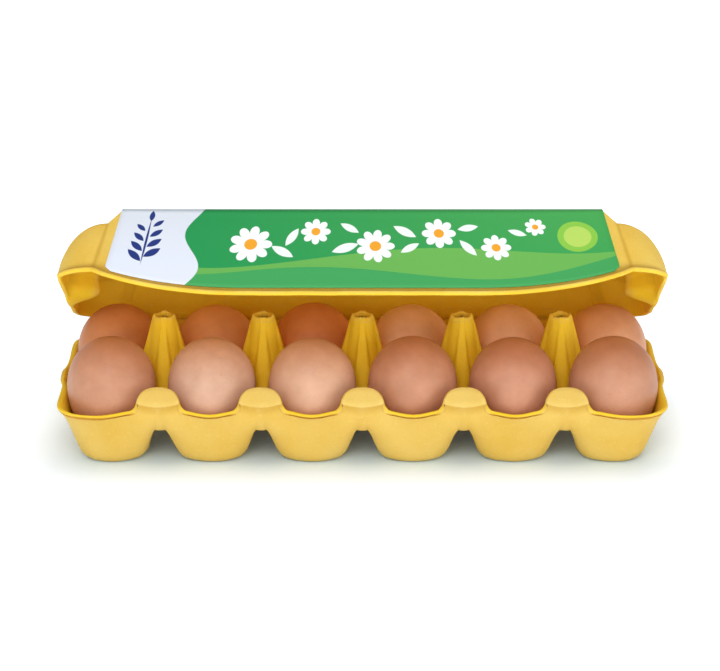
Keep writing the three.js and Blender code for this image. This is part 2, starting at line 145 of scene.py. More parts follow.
# Lid, described as if closed
LID_PULP = 2
LID_TOP = 68.4
DOME_TOP = 62.4
LID_FRONT = 57.5
LID_SKIRT_HEIGHT = 23.5
LID_SKIRT_FLAT = 50
LID_SHOULDER_X = 121
LID_SHOULDER_HEIGHT = 34.7
LID_END_HEIGHT = 36.4
LID_END_SLOPE = 0.055
PANEL_HALF = 116.5
PANEL_SLANT = 7.5
DOME_START = 122.5
LID_HALF_LENGTH = 147.8
LID_CORNER_FRONT = 37
LID_CORNER_BACK = 25
LID_LIP = 1.2
DOME_INSET = 2.5
DOME_INSET_REACH = 20
DOME_SHOULDER = 1.3
DOME_EDGE_START = 28
DOME_EDGE_WIDTH = 16
DOME_FRONT_RISE = 1.5
LEAN_HEIGHT = 35
LEAN_LIMIT = 0.9
SKIRT_CURVE = 2.2
NOTCH_DEPTH = 14.5
NOTCH_WIDTH = 8
NOTCH_Y = -1
LIP_TURN = 9

# Sections run from the front lip over the top to the hinge, as (y, share of the height).
LID_STOPS = [
    (-57.5, 0), (-53.2, 0.42), (-49.4, 0.86), (-48.4, 0.965), (-45.4, 1),
    (-24, 1), (-12, 1), (-1.5, 1), (9, 1), (24, 1),
    (42, 1), (44.4, 0.96), (45.6, 0.85), (49.2, 0.4), (52, 0),
]
LAST_STOP = len(LID_STOPS) - 1

# How finely the sheets are laid out: the tray's cage is corrected in rounds so that the smooth
# surface passes through its points; the lid's steps are for half its length.
CAGE_ROUNDS = 4
CAGE_CORRECTION = 0.9
FLOOR_MARGIN = 0.05
PANEL_STEPS = 14
PANEL_EDGE_HALF = 1
PANEL_EDGE_STEPS = 4
SHOULDER_STEPS = 2
DOME_STEPS = 12

# Paper label
LABEL_LOW_Y = -57.1
LABEL_BACK = 36
LABEL_LIFT = 0.3
LABEL_THICKNESS = 0.25
LABEL_CORNER = 3
LABEL_FOLD_Y = -48
LABEL_COLUMNS = 80
LABEL_ROWS = 90

# Hinge strip
STRIP_THICKNESS = 0.9
STRIP_OVERHANG = 10
STRIP_INSET = 0.6
STRIP_DROP = 4
STRIP_JOINT_INSET = 0.4
STRIP_LID_POINT = (0, 49.6, HINGE_Z + 5)
STRIP_STEPS = 5
STRIP_COLUMNS = 120

# Surface finish: rounded rims, soft unevenness as (amount, size), and painted shading by form
RIM_TURNS = [45, 90, 135]
RIM_BULGE = 0.35
TRAY_UNEVEN = (0.16, 9)
LID_UNEVEN = (0.12, 14)
FINER = 3.1
FINER_SHARE = 0.4
SEED_SHIFT = (17.3, 5.1, 9.7)
EGG_UNEVEN = 0.006
EGG_SWELLING = 1.3
EGG_SEED_SHIFT = 7.7
EDGE_ROUNDS = 2
CREASE_SHADE_WIDTH = 1.6
# Painted shade: the domes are a little darker towards their tops.
DOME_SHADE = 0.65
DOME_SHADE_DEPTH = 15
# Painted shade: the front eggs darken towards their tops, between these heights.
EGG_TOP_SHADE_LOW = 43
EGG_TOP_SHADE_HIGH = 59

# Floor, in metres: half sizes and middle of the carton's footprint, and the floor's reach
FOOTPRINT_X = 0.128
FOOTPRINT_Y = -0.004
FOOTPRINT_DEPTH = 0.034
FLOOR_REACH = 6

# Studio lamps in metres and watts: name, place, height aimed at, size, power
LAMPS = [
    ("high", (-0.2, -1.25, 1.05), 0.03, 0.9, 6),
    ("front", (-0.35, -1.7, 0.3), 0.05, 1.2, 2.8),
    ("right", (1.2, -0.9, 0.35), 0.05, 0.5, 2.5),
    ("back", (0.3, 1.4, 1.0), 0.05, 0.9, 4),
]

# The camera looks down by this angle; its distance and focal length give the photo's perspective.
CAMERA_DOWN = math.radians(20)
CAMERA_DISTANCE = 1288
CAMERA_AIM_HEIGHT = 48.7
CAMERA_X = -1.17
CAMERA_LENS = 126.9
CAMERA_SENSOR = 36

# The carton's frame is moved along y so that its footprint is centred; an egg shows how far.
egg_low, egg_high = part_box("egg_front_1")
SHIFT_Y = (egg_low[1] + egg_high[1]) / 2 / MM + ROW_OFFSET


def mix(a, b, t):
    return a + (b - a) * t


def colour(red, green, blue):
    """A screen colour, each part from 0 to 255, as the linear colour that shaders use."""
    linear = []
    for part in (red, green, blue):
        share = part / 255
        linear.append(share / 12.92 if share <= 0.04045 else ((share + 0.055) / 1.055) ** 2.4)
    return (*linear, 1)


# Colours of the pulp. The tray's and the lid's are a darker, shaded copy and a paler, lit copy of one
# pulp: painted shade and light.
TRAY_SHADED_BRIGHT = colour(229, 191, 96)
TRAY_SHADED_DEEP = colour(222, 178, 72)
LID_LIT_BRIGHT = colour(246, 209, 102)
LID_LIT_DEEP = colour(240, 194, 76)
# The inner skins' more saturated yellow is painted bounce light from the yellow walls.
PULP_PAINTED_BOUNCE_BRIGHT = colour(250, 208, 44)
PULP_PAINTED_BOUNCE_DEEP = colour(244, 196, 26)
# The pale colour serves the fibre's flecks and the painted light on the lugs' caps.
PULP_FLECK_AND_PAINTED_LIGHT = colour(248, 222, 136)
# Paler along sharp outer edges: partly rubbed wear, partly a painted highlight on the rims.
PULP_WEAR_AND_HIGHLIGHT = colour(248, 226, 150)
# The dark colour serves the grit's pits and the painted shade under the lugs' creases, along the
# lid's creases, on the domes' tops and in hollows.
PULP_PIT_AND_PAINTED_SHADE = colour(190, 136, 16)

# Colours of the print
GREEN_LEFT = colour(18, 142, 76)
GREEN_RIGHT = colour(74, 168, 82)
GREEN_LOW = colour(30, 158, 84)
DISC_RIM = colour(150, 206, 70)
DISC_MIDDLE = colour(196, 222, 104)
LEAF_WHITE = colour(240, 247, 238)
PETAL_WHITE = colour(246, 250, 246)
FLOWER_GOLD = colour(242, 165, 40)
PAPER_LOW = colour(229, 233, 243)
PAPER_HIGH = colour(217, 221, 227)
SPRIG_BLUE = colour(32, 52, 122)
# Painted shade along the fold; it only darkens what is under it.
FOLD_SHADE_TINT = (0.55, 0.6, 0.6, 1)
FOLD_SHADE_FADE = (2.2, 0.4)
FOLD_SHADE_SHARE = 0.5

# The print lies in millimetres across from the label's middle and up from its front edge.
PRINT_EDGE = 0.12
# Both fields change in colour up to the top of the low field; the pale one begins at its start, and
# its darkening upwards is painted shade.
LOW_FIELD_START = 8
LOW_FIELD_TOP = 45
LOW_GREEN_SHARE = 0.45
# Hills: height, swing, wavelength, phase, colour, share of ink
HILLS = [
    (16, 6, 38, 0.6, colour(136, 196, 84), 0.55),
    (8, 3.5, 26, 2.4, colour(34, 158, 92), 0.7),
]
DISC_PLACE = (101, 26)
# The disc's rings: radius, colour, share of ink
DISC_RINGS = [(9.5, DISC_RIM, 0.85), (6.5, DISC_MIDDLE, 0.8)]
# Daisies: across, up, radius, petals
DAISIES = [
    (-52, 24, 10, 9), (-22, 31, 7, 8), (6, 23, 9, 9), (36, 30, 8, 8), (62, 22, 7, 8), (82, 33, 5, 7),
]
# A second, looser spray lies on the top of the lid, behind the fold.
DAISIES += [(-34, 96, 13, 9), (14, 84, 10, 8), (58, 99, 11, 9), (94, 86, 7, 8)]
PETAL_CUT = 0.42
PETAL_ROUNDNESS = 0.6
HEART_SHARE = 0.3
# Leaves: across, up, turn in degrees, length
WHITE_LEAVES = [
    (-37, 20, 150, 12), (-33, 28, 60, 11), (-8, 22, 20, 13), (-6, 33, -30, 10), (20, 31, 150, 12),
    (22, 22, 30, 10), (49, 22, 130, 11), (50, 33, 10, 10), (73, 30, 160, 9),
    (-56, 86, 35, 14), (-13, 95, 150, 14), (-9, 82, 10, 12),
    (32, 95, 25, 13), (36, 83, 165, 12), (77, 90, 150, 12),
]
LEAF_WIDTH_SHARE = 0.36
SPRIG_WIDTH_SHARE = 0.4
# The sprig: its stem, then its lowest pair of leaves and how each next pair differs
SPRIG_X = -101
SPRIG_STEM = (SPRIG_X, 23, math.pi / 2, 29, 1.1)
SPRIG_TIP = (SPRIG_X, 39, 90, 6.5)
SPRIG_PAIRS = 4
SPRIG_LOW = 15
SPRIG_SPACING = 6
SPRIG_REACH = 3.9
SPRIG_STAGGER = 1.5
SPRIG_SPREAD = 48
SPRIG_LEAF = 9.5
SPRIG_TAPER = 1.1
# The wavy border of the pale field
BORDER_X = -79
BORDER_SWING = 4.5
BORDER_RATE = 0.16

# Each row of eggs: its y, its first seed, its share of the painted shade on the tops, and from
# left to right each egg's size and shell colour
EGG_ROWS = {
    "front": (-ROW_OFFSET, 1, 1, [
        (1, (206, 148, 114)), (0.99, (220, 174, 146)), (0.985, (219, 170, 138)),
        (1, (203, 143, 109)), (0.99, (200, 139, 107)), (1, (202, 144, 111)),
    ]),
    # The back row's shell colours are set paler to make up for the lid's shade, the right three most:
    # painted light.
    "back": (ROW_OFFSET, 11, 0, [
        (0.99, (206, 130, 76)), (0.98, (224, 150, 98)), (1, (218, 134, 78)),
        (0.985, (245, 188, 148)), (0.985, (240, 182, 142)), (0.99, (226, 162, 118)),
    ]),
}
EGG_TOP_SHADE_TINT = (0.86, 0.7, 0.58, 1)
SHELL_DARK = (0.86, 0.8, 0.76)
SHELL_LIGHT = (1.1, 0.015)
SPOT_DARK = (0.62, 0.62, 0.62)
SPOT_SHARE = 0.35

# Noise textures: features per metre, detail, and for some the roughness. Most of a noise's
# values lie within NOISE_RANGE.
NOISE_RANGE = (0.3, 0.7)
PULP_CLOUD = (38, 4)
PULP_FIBRE = (520, 5, 0.62)
PULP_GRIT = (1500, 3, 0.6)
SHELL_MOTTLE = (45, 5, 0.6)
SHELL_SPECKLE = (900, 2, 0.5)
SHELL_PATCHES = (60, 2)
SHELL_PORES = (1400, 2, 0.5)
PAPER_WRINKLES = (60, 2, 0.5)
PAPER_GRAIN = (1800, 2, 0.5)
FLOOR_CLOUD = (3, 2)

# Finishes: from the smoothest to the roughest, gloss, and relief as (strength, metres)
PULP_FINISH = ((0.68, 0.86), 0.32, (0.35, 0.0006))
SHELL_FINISH = ((0.4, 0.52), 0.4, (0.12, 0.0002))
PAPER_FINISH = ((0.42, 0.52), 0.25, (0.12, 0.0008))

# Fades on the pulp: each mask begins at the first value and is full at the second. The first
# two follow how sharp an edge is, the next three the fibre and the grit, and the lugs' are a
# share of a lug's half width, then millimetres.
# The sharp edges' paleness is partly wear and partly a painted highlight; the hollows', caps' and
# ledges' inks are painted shade and light.
EDGE_WEAR_AND_HIGHLIGHT_FADE = (0.1, 0.4)
HOLLOW_SHADE_FADE = (-0.03, -0.18)
EDGE_PALE_FIBRE_FADE = (0.3, 0.6)
FLECK_FADE = (0.56, 0.72)
PIT_FADE = (0.42, 0.3)
LUG_SIDE_FADE = (1.1, 0.95)
LUG_FRONT_FADE = (-44, -46)
CAP_FADE = (-0.25, 0.25)
LEDGE_FADE = (0.2, -0.2)
LEDGE_DEPTH_FADE = (-5, -0.3)
# Fades of the eggs' spots
PATCH_FADE = (0.42, 0.6)
SPECKLE_FADE = (0.64, 0.7)


def to_world(point):
    x, y, z = point
    return Vector((x, y + SHIFT_Y, z)) * MM


def add_object(name, data):
    item = bpy.data.objects.new(name, data)
    bpy.context.scene.collection.objects.link(item)
    return item


def new_object(name, points, faces, material):
    """A smooth shaded mesh object from points in millimetres."""
    mesh = bpy.data.meshes.new(name)
    mesh.from_pydata([to_world(point) for point in points], [], faces)
    mesh.polygons.foreach_set("use_smooth", [True] * len(mesh.polygons))
    mesh.update()
    mesh.materials.append(material)
    return add_object(name, mesh)


def point_normals(points, faces):
    mesh = bpy.data.meshes.new("normals")
    mesh.from_pydata(points, [], faces)
    mesh.update()
    normals = [vertex.normal.copy() for vertex in mesh.vertices]
    bpy.data.meshes.remove(mesh)
    return normals


def free_edges(faces):
    """Edges that belong to one face only, in that face's own direction."""
    seen = set()
    for face in faces:
        for k, corner in enumerate(face):
            seen.add((corner, face[(k + 1) % len(face)]))
    return [(a, b) for a, b in seen if (b, a) not in seen]


def thicken(points, faces, thickness, direction=None, lowest=None):
    """Closes a sheet into a shell with a rounded rim along every free edge.

    Gives the shell's points and faces, and for each point the sheet point it came from and
    its share of the way from the upper skin (0) to the lower one (1).
    """
    normals = point_normals(points, faces)
    if direction:
        normals = [direction(point, normal) for point, normal in zip(points, normals)]
    edges = sorted(free_edges(faces))
    outward = {}
    for a, b in edges:
        along = (points[b] - points[a]).normalized()
        for corner in (a, b):
            side = along.cross(normals[corner])
            outward[corner] = outward.get(corner, Vector()) + side
    shell = list(points)
    sources = list(range(len(points)))
    depths = [0.0] * len(points)
    rings = [{corner: corner for corner in outward}]
    for degrees in RIM_TURNS:
        turn = math.radians(degrees)
        ring = {}
        for corner, side in outward.items():
            bulge = side.normalized() * (RIM_BULGE * math.sin(turn))
            offset = normals[corner] * (math.cos(turn) - 1) + bulge
            ring[corner] = len(shell)
            shell.append(points[corner] + offset * (thickness / 2))
            sources.append(corner)
            depths.append(degrees / 180)
        rings.append(ring)
    below = len(shell)
    shell += [point - normal * thickness for point, normal in zip(points, normals)]
    sources += range(len(points))
    depths += [1.0] * len(points)
    rings.append({corner: below + corner for corner in outward})
    if lowest is not None:
        shell = [Vector((point.x, point.y, max(point.z, lowest))) for point in shell]
    closed = [tuple(face) for face in faces]
    closed += [tuple(below + corner for corner in reversed(face)) for face in faces]
    for upper, lower in zip(rings, rings[1:]):
        closed += [(upper[b], upper[a], lower[a], lower[b]) for a, b in edges]
    return shell, closed, sources, depths


def paint(piece, name, values):
    """Stores one number per point for the material to use."""
    layer = piece.data.attributes.new(name, "FLOAT", "POINT")
    layer.data.foreach_set("value", values)


def sharpness(piece, rounds):
    """How far each point stands out from its neighbours, in millimetres per millimetre."""
    mesh = piece.data
    places = [vertex.co for vertex in mesh.vertices]
    normals = [vertex.normal for vertex in mesh.vertices]
    neighbours = [[] for _ in places]
    for edge in mesh.edges:
        a, b = edge.vertices
        neighbours[a].append(b)
        neighbours[b].append(a)
    values = []
    for k, around in enumerate(neighbours):
        middle = sum((places[n] for n in around), Vector()) / len(around)
        spacing = sum((places[n] - places[k]).length for n in around) / len(around)
        values.append((places[k] - middle).dot(normals[k]) / spacing)
    for _ in range(rounds):
        values = [0.5 * values[k] + 0.5 * sum(values[n] for n in around) / len(around)
                  for k, around in enumerate(neighbours)]
    return values


def roughen(points, normals, amount, size, seed):
    """Moves points in and out a little, in soft swellings of the given size."""
    shift = Vector(SEED_SHIFT) * seed
    uneven = []
    for point, normal in zip(points, normals):
        finer = noise.noise(point * FINER / size + shift)
        wave = noise.noise(point / size + shift) + FINER_SHARE * finer
        uneven.append(point + normal * (amount * wave))
    return uneven


class Sheet:
    """An open surface of shared points."""

    def __init__(self):
        self.points = []
        self.faces = []
        self.lookup = {}
        self.creases = {}

    def point(self, x, y, z):
        key = (round(x * 1000), round(y * 1000), round(z * 1000))
        if key not in self.lookup:
            self.lookup[key] = len(self.points)
            self.points.append(Vector((x, y, z)))
        return self.lookup[key]

    def face(self, corners, flipped=False):
        kept = []
        for corner in corners:
            if corner not in kept:
                kept.append(corner)
        if len(kept) > 2:
            self.faces.append(tuple(reversed(kept)) if flipped else tuple(kept))


def subdivided(points, faces, creases, levels):
    """The smooth surface over a cage; its first points are where the cage's points end up."""
    mesh = bpy.data.meshes.new("cage")
    mesh.from_pydata(points, [], faces)
    layer = mesh.attributes.new("crease_edge", "FLOAT", "EDGE")
    for edge in mesh.edges:
        layer.data[edge.index].value = creases.get(tuple(sorted(edge.vertices)), 0)
    cage = add_object("cage", mesh)
    modifier = cage.modifiers.new("smooth", "SUBSURF")
    modifier.levels = levels
    graph = bpy.context.evaluated_depsgraph_get()
    fine = cage.evaluated_get(graph).to_mesh()
    fine_points = [vertex.co.copy() for vertex in fine.vertices]
    fine_faces = [tuple(polygon.vertices) for polygon in fine.polygons]
    bpy.data.objects.remove(cage)
    bpy.data.meshes.remove(mesh)
    return fine_points, fine_faces


def smooth_through(sheet, levels):
    """A smooth surface that passes through the sheet's points."""
    cage = [point.copy() for point in sheet.points]
    for _ in range(CAGE_ROUNDS):
        reached, _ = subdivided(cage, sheet.faces, sheet.creases, 1)
        for k, wanted in enumerate(sheet.points):
            cage[k] = cage[k] + (wanted - reached[k]) * CAGE_CORRECTION
    return subdivided(cage, sheet.faces, sheet.creases, levels)


# Tray


def cup_radius(z, corner=0, floor_radius=CUP_FLOOR_RADIUS):
    """Inner radius of a cup at a height; the cup is squarer towards the cell's outer corners."""
    if z > CUP_MID_HEIGHT:
        return CUP_MID_RADIUS + CUP_UPPER_SLOPE * (z - CUP_MID_HEIGHT)
    rise = max(0, z - PULP) / (CUP_MID_HEIGHT - PULP)
    base = floor_radius + FOOT_ROUND
    curve = END_CUP_CURVE if floor_radius < CUP_FLOOR_RADIUS else CUP_CURVE
    around = base + (CUP_MID_RADIUS - base) * rise ** curve
    corner_rise = min(1, max(0, z - PULP) / (CUP_CORNER_HEIGHT - PULP))
    return around + corner * CUP_CORNER_FILL * corner_rise ** CUP_CORNER_CURVE


def cup_column(edge, shoulder=None, wall_height=None, floor_radius=CUP_FLOOR_RADIUS, fill=1):
    """Points from the cup floor out to an edge point (u, v, z) of the cell."""
    u, v, z = edge
    reach = math.hypot(u, v)
    corner = fill * max(0, (-2 * u * v) / (reach * reach)) ** CUP_CORNER_SHARPNESS

    def radius_at(height):
        return cup_radius(height, corner, floor_radius)

    shoulder_height = shoulder[1] if shoulder else z - RIDGE_ROUND
    shoulder_radius = shoulder[0] if shoulder else radius_at(shoulder_height)
    middle = wall_height if wall_height is not None else mix(PULP, shoulder_height, CUP_WALL_SHARE)
    low = mix(PULP, middle, LOW_RING_SHARE)
    pinch = WALL_PINCH * min(0, shoulder_radius - radius_at(shoulder_height))
    rings = [
        (floor_radius, PULP),
        (radius_at(low), low),
        (radius_at(middle) + pinch, middle),
        (shoulder_radius, shoulder_height),
    ]
    column = [(u / reach * radius, v / reach * radius, height) for radius, height in rings]
    return column + [(u, v, z)]


# Half of a lug's crease and of its top edge, from the side in to the middle, measured
# from the middle of the lug and the row of cups.
LUG_CREASE = [
    (LUG_HALF_WIDTH, -LUG_CREASE_REACH - LUG_TIP_LEAD, LUG_TIP_HEIGHT),
    (LUG_FACE_HALF, -LUG_CREASE_REACH, LUG_CREASE_HEIGHT + LUG_FACE_RISE),
    (0, -LUG_CREASE_REACH, LUG_CREASE_HEIGHT),
]
LUG_TOP = [
    (LUG_SHOULDER_HALF, -LUG_SHOULDER_REACH, LUG_SHOULDER_HEIGHT),
    (LUG_FACE_HALF, -LUG_TOP_REACH - LUG_FACE_RISE, LUG_TOP_HEIGHT - LUG_FACE_RISE),
    (0, -LUG_TOP_REACH, LUG_TOP_HEIGHT),
]

# Stops down the four ribs of a pillar: where the rib is, as (distance from the pillar's
# axis, height), and where the cup's wall beside it turns over, also as distance and height.
PILLAR_STOPS = [
    ((PILLAR_HOLE, PILLAR_HEIGHT), (PILLAR_RING, PILLAR_RING_HEIGHT)),
    ((PILLAR_RING, PILLAR_RING_HEIGHT), (6.9, 57.5)),
    ((10, 46), (12.1, 39)),
    ((15.5, 31.5), (16.6, 29)),
]


def pillar_column(edge, beside):
    """A column that ends on a pillar; its wall turns over at a distance from the pillar's axis."""
    u, v, _ = edge
    distance, height = beside
    along = (u * HALF_PITCH + v * ROW_OFFSET) / math.hypot(u, v)
    aside = HALF_PITCH**2 + ROW_OFFSET**2 - along**2
    return cup_column(edge, (along - math.sqrt(distance**2 - aside), height))


def shared_side(front):
    """Columns on the side shared with the next cup, from the outer wall in to the pillar."""
    if front:
        corner = (HALF_PITCH, -LUG_CREASE_REACH, LUG_CREASE_HEIGHT)
        corner_shoulder = FRONT_CORNER_TURN
    else:
        corner = (HALF_PITCH, -HINGE_WALL_REACH, HINGE_Z - HINGE_GAP)
        corner_shoulder = BACK_CORNER_TURN
    arch = (HALF_PITCH, -ARCH_REACH, RIDGE_HEIGHT - ARCH_DROP)
    columns = [
        cup_column(corner, corner_shoulder, wall_height=CORNER_WALL_HEIGHT),
        cup_column(arch, ARCH_TURN, wall_height=ARCH_WALL_HEIGHT),
        cup_column((HALF_PITCH, -RIDGE_MID_REACH, RIDGE_HEIGHT - RIDGE_MID_DROP)),
        cup_column((HALF_PITCH, 0, RIDGE_HEIGHT)),
    ]
    for (distance, height), beside in reversed(PILLAR_STOPS):
        columns.append(pillar_column((HALF_PITCH, ROW_OFFSET - distance, height), beside))
    return columns


def inner_side():
    """Columns along the ridge between the rows, from the pillar to the middle of the cell."""
    hole = PILLAR_HOLE * math.sqrt(0.5)
    corner = (HALF_PITCH - hole, ROW_OFFSET - hole, PILLAR_HEIGHT)
    columns = [pillar_column(corner, PILLAR_STOPS[0][1])]
    for (distance, height), beside in PILLAR_STOPS:
        columns.append(pillar_column((HALF_PITCH - distance, ROW_OFFSET, height), beside))
    columns.append(cup_column((0, ROW_OFFSET, RIDGE_HEIGHT)))
    return columns


def rim_column(u, v, z, flange, **options):
    """A column that ends in the outward turned rim."""
    reach = math.hypot(u, v)
    return cup_column((u, v, z), (reach - flange, z - RIM_TURN_DROP), **options)


def front_side():
    """Columns along the front wall, from the middle of the cell to the lug beside it."""
    tip, face = [(HALF_PITCH - u, v, z) for u, v, z in LUG_CREASE[:2]]
    return [
        rim_column(0, -RIM_REACH, FRONT_RIM_HEIGHT, RIM_FLANGE),
        rim_column(RIM_DIP_HALF, -RIM_REACH, FRONT_RIM_HEIGHT + RIM_DIP_RISE, RIM_FLANGE),
        cup_column(tip, LUG_SIDE_TURN),
        cup_column(face, LUG_FACE_TURN),
    ]


def hinge_side():
    """Columns along the hinge wall at the back, as far as the next cell."""
    top = HINGE_Z - HINGE_GAP
    return [
        cup_column((0, -HINGE_WALL_REACH, top), HINGE_CUP_TURN),
        cup_column((HINGE_MID_HALF, -HINGE_WALL_REACH, top), HINGE_MID_TURN),
        cup_column((HALF_PITCH - LUG_FACE_HALF, -HINGE_WALL_REACH, top), HINGE_SIDE_TURN),
    ]


def end_rim(y):
    return END_RIM_HEIGHT + END_RIM_SLOPE * y


def end_side(front):
    """Columns around a corner and along an end wall, in to the ridge between the rows."""
    side = 1 if front else -1
    turn_u = END_REACH - CORNER_RADIUS
    turn_v = -RIM_REACH + CORNER_RADIUS
    columns = []
    for degrees in END_CORNER_TURNS:
        u = turn_u + CORNER_RADIUS * math.cos(math.radians(degrees))
        v = turn_v + CORNER_RADIUS * math.sin(math.radians(degrees))
        z = end_rim(side * (v - ROW_OFFSET))
        if degrees == -90:
            z = FRONT_RIM_HEIGHT if front else HINGE_Z - HINGE_CORNER_DROP
        turned = (degrees + 90) / 90
        floor_radius = mix(CUP_FLOOR_RADIUS, END_FLOOR_RADIUS, turned)
        flange = mix(RIM_FLANGE, END_FLANGE, turned)
        columns.append(rim_column(u, v, z, flange, floor_radius=floor_radius, fill=END_CORNER_FILL))
    for v in END_WALL_STOPS:
        z = end_rim(side * (v - ROW_OFFSET))
        columns.append(rim_column(END_REACH, v, z, END_FLANGE, floor_radius=END_FLOOR_RADIUS))
    ridge_end = (END_REACH, ROW_OFFSET, end_rim(0))
    shoulder = (END_RIDGE_REACH, ROW_OFFSET, RIDGE_HEIGHT + END_RIDGE_RISE)
    return columns + [
        cup_column(ridge_end, END_RIDGE_TURN, wall_height=END_RIDGE_WALL_HEIGHT),
        cup_column(shoulder, END_RIDGE_SHOULDER),
        cup_column((END_RIDGE_MIDDLE, ROW_OFFSET, RIDGE_HEIGHT)),
        cup_column((0, ROW_OFFSET, RIDGE_HEIGHT)),
    ]


def add_half_cell(sheet, centre_x, mirror_x, mirror_y, columns):
    """Lays one half of a cell into the sheet; the mirrors place it by reflection."""
    flipped = mirror_x * mirror_y < 0

    def place(point):
        u, v, z = point
        return sheet.point(centre_x + mirror_x * u, mirror_y * (v - ROW_OFFSET), z)

    centre = place((0, 0, PULP))
    placed = [[place(point) for point in column] for column in columns]
    for here, following in zip(placed, placed[1:]):
        sheet.face((centre, here[0], following[0]), flipped)
        for k in range(len(here) - 1):
            sheet.face((here[k], here[k + 1], following[k + 1], following[k]), flipped)


def add_lug_cap(sheet, centre_x):
    """The part of a lug above its crease, leaning back over the tray."""
    for side in (-1, 1):
        low = [sheet.point(centre_x + side * u, v - ROW_OFFSET, z) for u, v, z in LUG_CREASE]
        high = [sheet.point(centre_x + side * u, v - ROW_OFFSET, z) for u, v, z in LUG_TOP]
        for k in range(len(low) - 1):
            sheet.face((low[k], low[k + 1], high[k + 1], high[k]), side < 0)
            sheet.creases[tuple(sorted((low[k], low[k + 1])))] = LUG_CREASE_SHARPNESS


def column_x(index):
    return (index - (CUPS_PER_ROW - 1) / 2) * CUP_PITCH


def build_tray(material):
    sheet = Sheet()
    inner = inner_side()
    for front in (True, False):
        mirror_y = 1 if front else -1
        outer = front_side() if front else hinge_side()
        middle_half = outer + shared_side(front) + inner
        end_half = outer[:1] + end_side(front)
        for index in range(CUPS_PER_ROW):
            right = end_half if index == CUPS_PER_ROW - 1 else middle_half
            left = end_half if index == 0 else middle_half
            add_half_cell(sheet, column_x(index), 1, mirror_y, right)
            add_half_cell(sheet, column_x(index), -1, mirror_y, left)
    for index in range(CUPS_PER_ROW - 1):
        add_lug_cap(sheet, column_x(index) + HALF_PITCH)
    points, faces = smooth_through(sheet, 2)
    floor = [point.z < PULP + FLOOR_MARGIN for point in points]
    points = [Vector((p.x, p.y, PULP)) if flat else p for p, flat in zip(points, floor)]
    uneven = roughen(points, point_normals(points, faces), *TRAY_UNEVEN, 1)
    points = [p if flat else q for p, q, flat in zip(points, uneven, floor)]

    def upright(point, normal):
        return Vector((0, 0, 1)) if point.z == PULP else normal

    shell, closed, _, depths = thicken(points, faces, PULP, upright, lowest=0)
    tray = new_object("tray_pulp", shell, closed, material)
    paint(tray, "inside", [1 - depth for depth in depths])
    paint(tray, "edge", sharpness(tray, EDGE_ROUNDS))
    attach(tray, "tray")
    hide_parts("tray")


# Lid

def gentle(values, at):
    """A smooth curve through evenly numbered values that never swings past them."""
    last = len(values) - 1
    k = min(int(at), last - 1)
    t = at - k
    changes = [values[i + 1] - values[i] for i in range(last)]

    def slope(i):
        if i == 0 or i == last:
            return changes[min(i, last - 1)]
        before, after = changes[i - 1], changes[i]
        return 2 * before * after / (before + after) if before * after > 0 else 0

    a, b = values[k], values[k + 1]
    curve_a = (2 * t**3 - 3 * t**2 + 1) * a + (t**3 - 2 * t**2 + t) * slope(k)
    curve_b = (3 * t**2 - 2 * t**3) * b + (t**3 - t**2) * slope(k + 1)
    return curve_a + curve_b


def lid_stop(at):
    """The section's (y, rise) at a number that counts stops from the front."""
    return gentle([y for y, _ in LID_STOPS], at), gentle([rise for _, rise in LID_STOPS], at)


def stop_at(wanted_y):
    """The number at which the section passes a given y."""
    low, high = 0, LAST_STOP
    for _ in range(40):
        middle = (low + high) / 2
        if lid_stop(middle)[0] < wanted_y:
            low = middle
        else:
            high = middle
    return low


def lid_end_height(y):
    return LID_END_HEIGHT + LID_END_SLOPE * y


def skirt_height(x):
    if x < LID_SKIRT_FLAT:
        return LID_SKIRT_HEIGHT
    along = (x - LID_SKIRT_FLAT) / (LID_SHOULDER_X - LID_SKIRT_FLAT)
    return mix(LID_SKIRT_HEIGHT, LID_SHOULDER_HEIGHT, min(1, along) ** SKIRT_CURVE)


def end_notch(y, turn):
    """How far the end wall is pushed in between the two end eggs, above its straight lip."""
    across = math.exp(-(((y - NOTCH_Y) / NOTCH_WIDTH) ** 2))
    lip_share = min(1, (90 - math.degrees(turn)) / LIP_TURN)
    return NOTCH_DEPTH * across * math.sin(turn) * lip_share


def lid_point(x, turn, stop):
    """A point of the lid's outer skin as if closed; turn runs over the domed ends."""
    if PANEL_HALF < abs(x) < DOME_START:
        share = (abs(x) - PANEL_HALF) / (DOME_START - PANEL_HALF)
        panel_end = lid_point(math.copysign(PANEL_HALF, x), turn, stop)
        return panel_end.lerp(lid_point(math.copysign(DOME_START, x), turn, stop), share)
    stop_y, rise = stop
    distance = abs(x)
    around = math.cos(turn)
    dome = distance >= DOME_START
    edge_share = (stop_y + LID_FRONT) / (HINGE_Y + LID_FRONT)
    corner_share = LID_CORNER_FRONT / LID_FRONT if stop_y < 0 else LID_CORNER_BACK / HINGE_Y
    y = stop_y * mix(corner_share, 1, around)
    if dome:
        y -= math.copysign(DOME_INSET * around * min(1, abs(y) / DOME_INSET_REACH), y)
        front_low = mix(lid_end_height(y), LID_SHOULDER_HEIGHT + DOME_FRONT_RISE, around)
        back_low = mix(lid_end_height(y), HINGE_Z + HINGE_GAP, around)
    else:
        front_low = skirt_height(distance)
        back_low = HINGE_Z + HINGE_GAP
    low = mix(front_low, back_low, edge_share)
    edge = min(1, max(0, (abs(y) - DOME_EDGE_START) / DOME_EDGE_WIDTH))
    fall = 1 + DOME_SHOULDER * edge * math.sin(turn) ** 3
    top = mix(lid_end_height(y), DOME_TOP, around**fall) if dome else LID_TOP
    z = mix(low, top, rise)
    slant = around if dome else min(1, distance / PANEL_HALF)
    lean = PANEL_SLANT * slant * (LID_TOP - z) / LEAN_HEIGHT
    leaning = min(distance + lean, mix(distance, LID_HALF_LENGTH, LEAN_LIMIT))
    return Vector((math.copysign(leaning - end_notch(y, turn), x), y, z))


